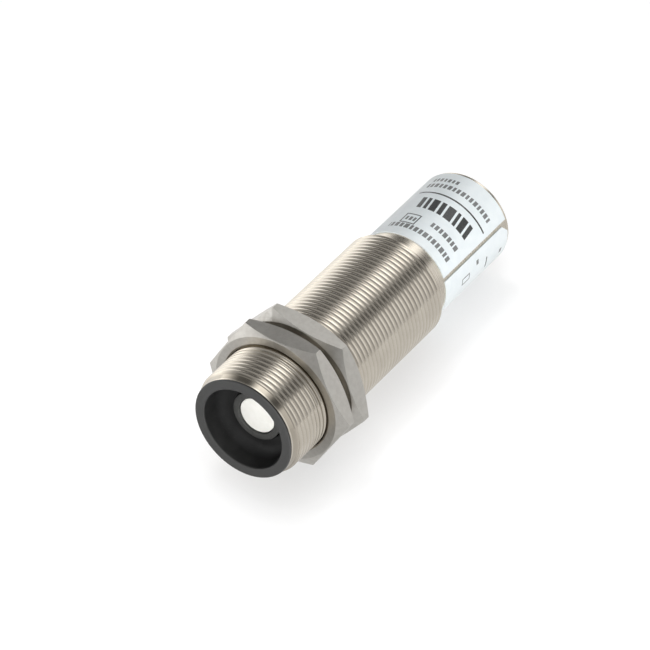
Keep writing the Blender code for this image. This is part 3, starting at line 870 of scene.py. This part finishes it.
@dataclass
class LockNut(SubAssembly):
    """A hexagon nut, chamfered on both faces and countersunk at its bore."""

    node: str
    body: str
    turn: float
    half_width: float = 0.018
    face_inset: float = 0.0003
    chamfer_angle: float = radians(30)
    bore_radius: float = 0.01525
    countersink: float = 0.0004
    edge: float = 0.00014
    corner_edge: float = 0.0003
    flat_steps: int = 18

    def outline(self) -> list[Point]:
        """The hexagon with rounded corners.

        Returns:
            Angle and radius of each point.
        """
        corner = self.half_width / cos(pi / 6)
        places = [n * pi / 3 for n in range(6)]
        hexagon = filleted(
            [(corner * cos(angle), corner * sin(angle), self.corner_edge) for angle in places])
        points: list[Point] = []
        for n, here in enumerate(hexagon):
            there = hexagon[(n + 1) % len(hexagon)]
            gap = Vector(there) - Vector(here)
            steps = self.flat_steps if gap.length > self.half_width / 2 else 1
            for step in range(steps):
                spot = Vector(here) + gap * step / steps
                points.append((Vector((1, 0)).angle_signed(spot), spot.length))
        return points

    @cached_property
    def faces(self) -> tuple[float, float]:
        """The stations of the nut's front and rear faces."""
        low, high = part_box(self.node)
        return -high.x, -low.x

    def chamfer_depth(self, radius: float) -> float:
        """How far back a chamfer reaches where the flats are at a radius."""
        return (radius - self.half_width + self.face_inset) * tan(self.chamfer_angle)

    def foot(self, corner: int) -> Vector:
        """The rear end of one of the nut's corners, where the nut touches the floor.

        Args:
            corner: The corner's number, counted from the one that the turn gives.

        Returns:
            The point.
        """
        reach = self.half_width / cos(pi / 6)
        return around(self.faces[1] - self.chamfer_depth(reach), reach,
                      self.turn + corner * pi / 3)

    def section(self, angle: float, radius: float) -> list[Vector]:
        """The nut cut through its axis.

        Args:
            angle: Direction of the cut.
            radius: Where the flats are in that direction.

        Returns:
            The points round the cut.
        """
        front, rear = self.faces
        face = self.half_width - self.face_inset
        depth = self.chamfer_depth(radius)
        corners = [
            (front + self.countersink, self.bore_radius, self.edge),
            (front, self.bore_radius + self.countersink, self.edge),
            (front, face, self.edge),
            (front + depth, radius, self.edge),
            (rear - depth, radius, self.edge),
            (rear, face, self.edge),
            (rear, self.bore_radius + self.countersink, self.edge),
            (rear - self.countersink, self.bore_radius, self.edge),
        ]
        return [around(*point, self.turn + angle) for point in filleted(corners, steps=2)]

    def build(self) -> list[bpy.types.Object]:
        """Makes the nut.

        Returns:
            The nut.
        """
        surface = Surface()
        surface.loft([self.section(angle, radius) for angle, radius in self.outline()])
        nut = surface.piece(f"{self.node}_skin", sharp=28.0)
        self.seat(nut, self.body, self.node, STEEL)
        return [nut]


@dataclass
class SoundingFront(TurnedParts):
    """The horn in the barrel's mouth, and the boot and white face that it holds."""

    facets: int = 160
    gap: float = 0.0003
    rim_radius: float = 0.0141
    rim_edge: float = 0.0004
    rim_thickness: float = 0.0006
    mouth_radius: float = 0.01145
    mouth_edge: float = 0.00022
    cove_radius: float = 0.0028
    draft: float = 0.0002
    depth: float = 0.007
    horn_radius: float = 0.0126
    pocket_radius: float = 0.009
    shoulder: float = 0.0116
    seal_thickness: float = 0.0012
    seal_station: float = 0.0092
    boot_lip: float = 0.0019
    boot_edge: float = 0.00027
    boot_bore: float = 0.0052
    face_edge: float = 0.00012
    small_edge: float = 0.0001

    def horn(self) -> list[Corner]:
        """The horn's section: rim, recess with its cove, pocket behind and groove outside.

        Returns:
            Station, radius and fillet radius of each corner.
        """
        rear = -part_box("sensor_horn")[0].x
        neck = self.boot_radius() + self.gap
        inner = self.mouth_radius - self.draft
        groove = self.seal_thickness / 2 + self.gap
        groove_floor = self.horn_radius - self.seal_thickness - self.gap
        edge = self.small_edge
        return [
            (0.0, self.mouth_radius, self.mouth_edge),
            (0.0, self.rim_radius, self.rim_edge),
            (self.rim_thickness, self.rim_radius, edge),
            (self.rim_thickness, self.horn_radius, edge),
            (self.seal_station - groove, self.horn_radius, edge),
            (self.seal_station - groove, groove_floor, edge),
            (self.seal_station + groove, groove_floor, edge),
            (self.seal_station + groove, self.horn_radius, edge),
            (rear, self.horn_radius, edge),
            (rear, self.pocket_radius, edge),
            (self.shoulder - self.gap, self.pocket_radius, edge),
            (self.shoulder - self.gap, neck, edge),
            (self.depth, neck, edge),
            (self.depth, inner, self.cove_radius),
        ]

    def boot_radius(self) -> float:
        """The radius of the boot's neck, which leaves the gap in the horn's floor."""
        return self.pocket_radius - self.gap - self.boot_lip

    def build(self) -> list[bpy.types.Object]:
        """Makes horn, boot and white face.

        Returns:
            The three pieces.
        """
        horn = self.turned("horn_skin", "sensor_horn", HORN_BLACK, self.horn(), steps=8, sharp=35.0)
        low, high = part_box("transducer_boot")
        front, rear, neck = -high.x, -low.x, self.boot_radius()
        boot = self.turned("boot_skin", "transducer_boot", BOOT_RUBBER, [
            (front, self.boot_bore, self.boot_edge / 2),
            (front, neck, self.boot_edge),
            (self.shoulder, neck, 0.0),
            (self.shoulder, high.z, self.small_edge),
            (rear, high.z, self.small_edge),
            (rear, self.boot_bore, self.small_edge),
        ])
        low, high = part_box("matching_layer")
        face = self.turned("white_face_skin", "matching_layer", WHITE_FACE, [
            (-high.x, 0.0, 0.0),
            (-high.x, high.z, self.face_edge),
            (-low.x, high.z, self.face_edge),
            (-low.x, 0.0, 0.0),
        ], closed=False)
        return [horn, boot, face]

    def dress(self) -> None:
        """Finishes the seal and what is behind the white face."""
        self.coat("horn_seal", BLACK_RUBBER)
        self.coat("piezo_disc", CERAMIC)
        self.coat("backing_foam", FOAM)
        self.coat("transducer_retainer", CARRIER)
        self.coat("transducer_lead_a", WIRE)
        self.coat("transducer_lead_b", WIRE)


@dataclass
class RearEnd(TurnedParts):
    """The resin plug in the barrel's rear end and the collar of the cable's inlet."""

    edge: float = 0.0003
    lip_thickness: float = 0.0024
    gap: float = 0.0003
    collar_radius: float = 0.0044
    collar_wall: float = 0.0011
    collar_taper: float = 0.0005
    rim_station: float = 0.1027

    def build(self) -> list[bpy.types.Object]:
        """Makes plug and collar.

        Returns:
            The two pieces.
        """
        low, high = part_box("rear_plug")
        collar_low, collar_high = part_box("cable_bushing")
        front, rear = -high.x, -low.x
        start, tip = -collar_high.x, -collar_low.x
        pocket = collar_high.z + self.gap
        lip = front + self.lip_thickness + 2 * self.gap
        through = self.collar_radius + self.gap
        plug = self.turned("plug_skin", "rear_plug", RESIN, [
            (front, pocket, 0.0),
            (front, high.z, self.edge),
            (rear, high.z, self.edge),
            (rear, through, self.edge),
            (lip, through, 0.0),
            (lip, pocket, 0.0),
        ])
        bore = self.collar_radius - self.collar_wall
        end = self.collar_radius - self.collar_taper
        collar = self.turned("collar_skin", "cable_bushing", BLACK_RUBBER, [
            (start, bore, 0.0),
            (start, collar_high.z, self.edge / 2),
            (start + self.lip_thickness, collar_high.z, self.edge / 2),
            (start + self.lip_thickness, self.collar_radius, 0.0),
            (self.rim_station, self.collar_radius, 0.0),
            (tip, end, self.edge),
            (tip, bore, self.edge / 2),
        ])
        return [plug, collar]


@dataclass
class Electronics(SubAssembly):
    """The carrier, the board and its parts, which the barrel hides."""

    def dress(self) -> None:
        """Finishes each of them."""
        self.coat("board_carrier", CARRIER)
        self.coat("circuit_board", LAMINATE)
        self.coat("pulse_transformer", FERRITE)
        self.coat("cable_header", HEADER)
        for chip in ("temperature_sensor", "driver_chip", "amplifier_chip", "controller_chip"):
            self.coat(chip, CHIP)
        for can in ("capacitor_a", "capacitor_b", "crystal"):
            self.coat(can, CAN)


@dataclass(frozen=True)
class Mark:
    """A patch of ink on the label, its stations in millimetres and its angles in degrees."""

    front: float
    rear: float
    start: float
    end: float
    slant: float = 0.0


@dataclass
class Label(SubAssembly):
    """The film round the sleeve, and the plain marks in the places of its print."""

    columns: int = 288
    radius: float = 0.01335
    thickness: float = 0.00029
    seam: float = radians(-64.5)
    seam_width: float = 0.0011
    cut: float = 0.0022
    ink_height: float = 0.00002
    line_width: float = 0.3
    mark_step: float = radians(1.5)

    @cached_property
    def limits(self) -> tuple[Vector, Vector]:
        """The two corners of the label's box."""
        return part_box("label")

    def foot(self) -> Vector:
        """The lowest point of the label's rear edge, where the sensor touches the floor."""
        low, high = self.limits
        return around(-low.x, high.z, pi)

    def film(self) -> Surface:
        """The film down to the sleeve, open at its seam, with one rear corner cut off.

        Returns:
            Its surface.
        """
        low, high = self.limits
        front, rear = -high.x, -low.x
        half_gap = self.seam_width / 2 / self.radius
        start, end = self.seam + half_gap, self.seam + 2 * pi - half_gap
        surface = Surface()
        sections = []
        for n in range(self.columns + 1):
            angle = start + (end - start) * n / self.columns
            beyond = max(0.0, self.cut - (end - angle) * self.radius)
            back, inner = rear - beyond, self.radius - self.thickness
            sections.append([around(front, inner, angle), around(front, self.radius, angle),
                             around(back, self.radius, angle), around(back, inner, angle)])
        surface.loft(sections, joined=False)
        return surface

    def print_marks(self, name: str, marks: Sequence[Mark], ink: Finish) -> bpy.types.Object:
        """Lays thin patches of ink on the film.

        Args:
            name: The piece's name.
            marks: The patches.
            ink: Their finish.

        Returns:
            The piece.
        """
        surface = Surface()
        top, foot = self.radius + self.ink_height, self.radius - self.ink_height
        for mark in marks:
            start, end, slant = radians(mark.start), radians(mark.end), radians(mark.slant)
            steps = max(1, round((end - start) / self.mark_step))
            front, rear = mark.front * MILLIMETRE, mark.rear * MILLIMETRE
            sections = []
            for n in range(steps + 1):
                here = start + (end - start) * n / steps
                there = here + slant
                sections.append([around(front, foot, here), around(front, top, here),
                                 around(rear, top, there), around(rear, foot, there)])
            surface.loft(sections, joined=False)
        piece = surface.piece(name)
        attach(piece, "sensor")
        self.wear(piece, ink)
        return piece

    def row(self, front: float, rear: float, start: float, end: float,
            lengths: Sequence[float], gap: float, slant: float = 0.0) -> list[Mark]:
        """A row of dashes along the label's round.

        Args:
            front: Station of their front edges.
            rear: Station of their rear edges.
            start: Angle at which the row starts.
            end: Angle at which it ends.
            lengths: Angles that the dashes take, repeated as often as needed.
            gap: Angle between two dashes.
            slant: Angle by which a dash's rear edge is shifted.

        Returns:
            The dashes.
        """
        marks = []
        angle, n = start, 0
        while angle < end:
            stop = min(angle + lengths[n % len(lengths)], end)
            marks.append(Mark(front, rear, angle, stop, slant))
            angle, n = stop + gap, n + 1
        return marks

    def box(self, front: float, rear: float, start: float, end: float) -> list[Mark]:
        """The outline of a box.

        Args:
            front: Station of its front side.
            rear: Station of its rear side.
            start: Angle of its one end.
            end: Angle of its other end.

        Returns:
            Its four sides.
        """
        line = self.line_width
        side = degrees(line * MILLIMETRE / self.radius)
        return [
            Mark(front, front + line, start, end),
            Mark(rear - line, rear, start, end),
            Mark(front + line, rear - line, start, start + side),
            Mark(front + line, rear - line, end - side, end),
        ]

    def heavy_marks(self) -> list[Mark]:
        """The rule along the rear, the heavy bars and the boxes.

        Returns:
            The marks.
        """
        return [
            Mark(91.65, 92.15, -56.0, 41.0),
            Mark(91.15, 91.6, -100.0, -85.0),
            *self.row(84.6, 89.4, -46.0, 24.0, (5.5, 8.0, 4.0, 10.0), 2.8, 3.0),
            *self.box(77.2, 81.4, 7.0, 26.0),
        ]

    def fine_marks(self) -> list[Mark]:
        """The small rows.

        Returns:
            The marks.
        """
        return [
            *self.row(75.1, 76.9, -50.0, 35.0, (4.4, 3.2, 5.2, 3.8), 1.9),
            *self.row(79.5, 81.2, -48.0, -8.0, (5.0, 3.4, 4.2), 1.9),
            *self.row(78.5, 80.1, 10.0, 23.0, (2.6, 3.4), 1.8),
            *self.row(94.6, 96.3, -50.0, 40.0, (3.0, 4.4, 3.6), 2.1),
            *self.row(97.5, 98.9, 5.0, 38.0, (3.4, 2.6), 2.1),
            *self.box(79.6, 83.2, -93.0, -84.0),
            *self.row(86.4, 87.4, -83.0, -77.0, (6.0,), 2.0),
            *self.row(98.0, 99.0, -99.0, -93.0, (6.0,), 2.0),
        ]

    def build(self) -> list[bpy.types.Object]:
        """Makes the film and its marks.

        Returns:
            The film, the heavy marks and the fine ones.
        """
        film = self.film().piece("label_skin", sharp=45.0)
        self.seat(film, "sensor", "label", FILM)
        heavy = self.print_marks("label_print_heavy", self.heavy_marks(), INK)
        fine = self.print_marks("label_print_fine", self.fine_marks(), PALE_INK)
        return [film, heavy, fine]


# Stage, light and camera


@dataclass(frozen=True)
class Lamp:
    """A soft lamp that aims at the sensor's middle."""

    name: str
    place: Place
    width: float
    power: float
    casts_shadow: bool = True


@dataclass
class Studio:
    """A pale floor under the sensor, a soft dome over it and four lamps.

    The sky's and the floor's points are what the metal mirrors: brightness by the angle round the
    barrel, in degrees, and by the floor's Y. There is one line beside the sensor and one ahead.
    """

    feet: Sequence[Vector]
    aim: Place = (-0.045, 0.0, 0.0)
    floor_reach: float = 1.5
    glow_seen: float = 0.50
    glow_mirrored: float = 0.80
    backdrop: float = 1.31
    card: Color = (0.90, 0.90, 0.90)
    contact_depth: float = 0.55
    contact_reach: float = 0.015
    contact_tilt: Place = (-0.10, -0.45, 0.89)
    floor_seam: Span = (-0.02, 0.01)
    # Glow of the floor for glossy rays along its Y: brighter on the -Y side, and dimmed near the
    # sensor as a painted shadow.
    floor_beside_glow_and_shadow: tuple[Point, ...] = (
        (-0.10, 1.40), (-0.05, 1.10), (-0.03, 0.85), (-0.01, 0.75), (0.04, 0.68),
    )
    floor_ahead_glow_and_shadow: tuple[Point, ...] = (
        (-0.16, 1.80), (-0.06, 1.00), (-0.033, 0.85), (-0.022, 0.18), (0.01, 0.12), (0.03, 0.70),
    )
    sky_seam: Span = (-0.1, 0.6)
    sky_diffuse: float = 0.30
    lamps: tuple[Lamp, ...] = (
        Lamp("key", (0.62, 0.62, 0.48), 0.35, 7.6, casts_shadow=False),
        Lamp("side", (0.20, 0.80, 0.50), 0.40, 2.0, casts_shadow=False),
        Lamp("front", (0.90, 0.10, 0.25), 0.35, 1.5, casts_shadow=False),
        Lamp("rear", (-0.12, -0.36, 0.85), 0.30, 1.9),
    )
    sky: tuple[Point, ...] = (
        (-180.0, 0.75), (-100.0, 0.64), (-80.0, 0.88), (-52.0, 0.92), (-45.0, 0.24),
        (-36.0, 0.10), (-26.0, 0.16), (-17.0, 0.80), (-8.0, 1.65), (7.0, 1.80), (14.0, 0.95),
        (20.0, 0.30), (26.0, 0.12), (36.0, 0.12), (50.0, 0.14), (60.0, 0.42), (70.0, 0.95),
        (80.0, 1.50), (90.0, 1.80), (108.0, 1.95), (125.0, 1.45), (145.0, 1.10), (180.0, 1.0),
    )
    sky_ahead: tuple[Point, ...] = (
        (-180.0, 0.36), (66.0, 0.36), (84.0, 1.00), (92.0, 1.70), (180.0, 1.70),
    )

    def floor(self) -> None:
        """Lays the floor under the three points that the sensor lies on."""
        first, second, third = self.feet
        up = (second - first).cross(third - first).normalized()
        if up.z < 0:
            up = -up
        side = up.cross(Vector((1, 0, 0))).normalized()
        along = side.cross(up)
        reach = self.floor_reach
        corners = [first + along * x + side * y
                   for x, y in ((-reach, -reach), (reach, -reach), (reach, reach), (-reach, reach))]
        mesh = bpy.data.meshes.new("floor")
        mesh.from_pydata(corners, [], [(0, 1, 2, 3)])
        floor = bpy.data.objects.new("floor", mesh)
        bpy.context.scene.collection.objects.link(floor)
        mesh.materials.append(self.floor_material())

    def floor_material(self) -> bpy.types.Material:
        """White card that glows for the camera and in reflections, and takes a soft shadow.

        Returns:
            The material.
        """
        material = bpy.data.materials.new("floor card")
        graph = Graph(material)
        graph.tree.nodes.clear()
        paths = graph.node("ShaderNodeLightPath").outputs
        place = graph.parts(graph.place())
        # Painted light and shadow in reflections: the floor's glow for glossy rays is dimmed near
        # the sensor and under its front.
        mirrored_glow_and_shadow = graph.blend(graph.spread(place[0], *self.floor_seam),
                               graph.curve(place[1], self.floor_beside_glow_and_shadow),
                               graph.curve(place[1], self.floor_ahead_glow_and_shadow))
        # Painted contact shadow: ambient occlusion, tilted towards the rear lamp, dims the glow
        # that the camera sees.
        tilt = graph.node("ShaderNodeCombineXYZ")
        contact = graph.node("ShaderNodeAmbientOcclusion")
        for socket, source in zip(tilt.inputs, self.contact_tilt):
            graph.feed(socket, source)
        graph.feed(contact.inputs["Normal"], tilt.outputs[0])
        graph.feed(contact.inputs["Distance"], self.contact_reach)
        open_sky = graph.blend(contact.outputs["AO"], 1 - self.contact_depth, 1.0)
        glow = graph.node("ShaderNodeEmission")
        graph.feed(glow.inputs["Strength"],
                   graph.blend(paths["Is Camera Ray"], mirrored_glow_and_shadow,
                               graph.math("MULTIPLY", open_sky, self.backdrop)))
        card = graph.node("ShaderNodeBsdfDiffuse")
        graph.feed(card.inputs["Color"], self.card)
        share = graph.math("ADD", graph.math("MULTIPLY", paths["Is Camera Ray"], self.glow_seen),
                           graph.math("MULTIPLY", paths["Is Glossy Ray"], self.glow_mirrored))
        surface = graph.node("ShaderNodeMixShader")
        graph.feed(surface.inputs[0], share)
        graph.feed(surface.inputs[1], card.outputs[0])
        graph.feed(surface.inputs[2], glow.outputs[0])
        output = graph.node("ShaderNodeOutputMaterial")
        graph.feed(output.inputs["Surface"], surface.outputs[0])
        return material

    def light(self) -> None:
        """Sets up the soft dome, which is white for the camera, and the lamps."""
        world = bpy.data.worlds.new("studio")
        bpy.context.scene.world = world
        graph = Graph(world)
        paths = graph.node("ShaderNodeLightPath").outputs
        place = graph.parts(graph.node("ShaderNodeTexCoord").outputs["Generated"])
        turn = graph.math("DEGREES", graph.math(
            "ARCTAN2", graph.math("MULTIPLY", place[1], -1.0), place[2]))
        dome = graph.blend(graph.spread(place[0], *self.sky_seam),
                           graph.curve(turn, self.sky), graph.curve(turn, self.sky_ahead))
        dim = graph.blend(paths["Is Diffuse Ray"], 1.0, self.sky_diffuse)
        soft = graph.math("MULTIPLY", dome, dim)
        background = graph.tree.nodes["Background"].inputs
        graph.feed(background["Strength"], graph.blend(paths["Is Camera Ray"], soft, 1.0))
        background["Color"].default_value = (1.0, 1.0, 1.0, 1.0)
        for lamp in self.lamps:
            self.hang(lamp)

    def hang(self, lamp: Lamp) -> None:
        """Hangs a lamp.

        Args:
            lamp: The lamp.
        """
        data = bpy.data.lights.new(lamp.name, "AREA")
        data.shape = "DISK"
        data.size = lamp.width
        data.energy = lamp.power
        data.use_shadow = lamp.casts_shadow
        made = bpy.data.objects.new(lamp.name, data)
        made.location = lamp.place
        beam = Vector(self.aim) - made.location
        made.rotation_euler = beam.to_track_quat("-Z", "Y").to_euler()
        made.visible_glossy = False
        bpy.context.scene.collection.objects.link(made)


@dataclass(frozen=True)
class Viewpoint:
    """The camera of the photograph: level, and the sensor rolled under it."""

    lens: float = 221.54
    film: float = 36.0
    sight: float = 10.0
    place: Place = (0.606428, 0.425015, 0.629562)
    right: Place = (-0.551513, 0.834166, 0.0)
    above: Place = (-0.523597, -0.346178, 0.778465)
    behind: Place = (0.649369, 0.429333, 0.627688)
    barrel_roll: float = radians(6.55)

    def place_camera(self) -> None:
        """Sets up the camera."""
        data = bpy.data.cameras.new("camera")
        data.lens = self.lens
        data.sensor_width = self.film
        data.clip_end = self.sight
        camera = bpy.data.objects.new("camera", data)
        level = Matrix((self.right, self.above, self.behind)).transposed().to_4x4()
        level.translation = self.place
        camera.matrix_world = Matrix.Rotation(self.barrel_roll, 4, "X") @ level
        bpy.context.scene.collection.objects.link(camera)
        bpy.context.scene.camera = camera


def main() -> None:
    """Builds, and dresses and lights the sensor."""
    logging.basicConfig(level=logging.INFO, format="%(message)s")
    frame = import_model()
    front_nut = LockNut(frame, "front_nut", "front_lock_nut", radians(35))
    rear_nut = LockNut(frame, "rear_nut", "rear_lock_nut", radians(25))
    label = Label(frame)
    parts: list[SubAssembly] = [
        Barrel(frame), front_nut, rear_nut, SoundingFront(frame), RearEnd(frame),
        Electronics(frame), label,
    ]
    for part in parts:
        for piece in part.build():
            LOG.info("%s: %s, %d faces", type(part).__name__, piece.name, len(piece.data.polygons))
        part.dress()
    studio = Studio([front_nut.foot(2), rear_nut.foot(3), label.foot()])
    studio.floor()
    studio.light()
    Viewpoint().place_camera()
    bpy.context.scene.view_settings.view_transform = "Standard"


if __name__ == "__main__":
    main()
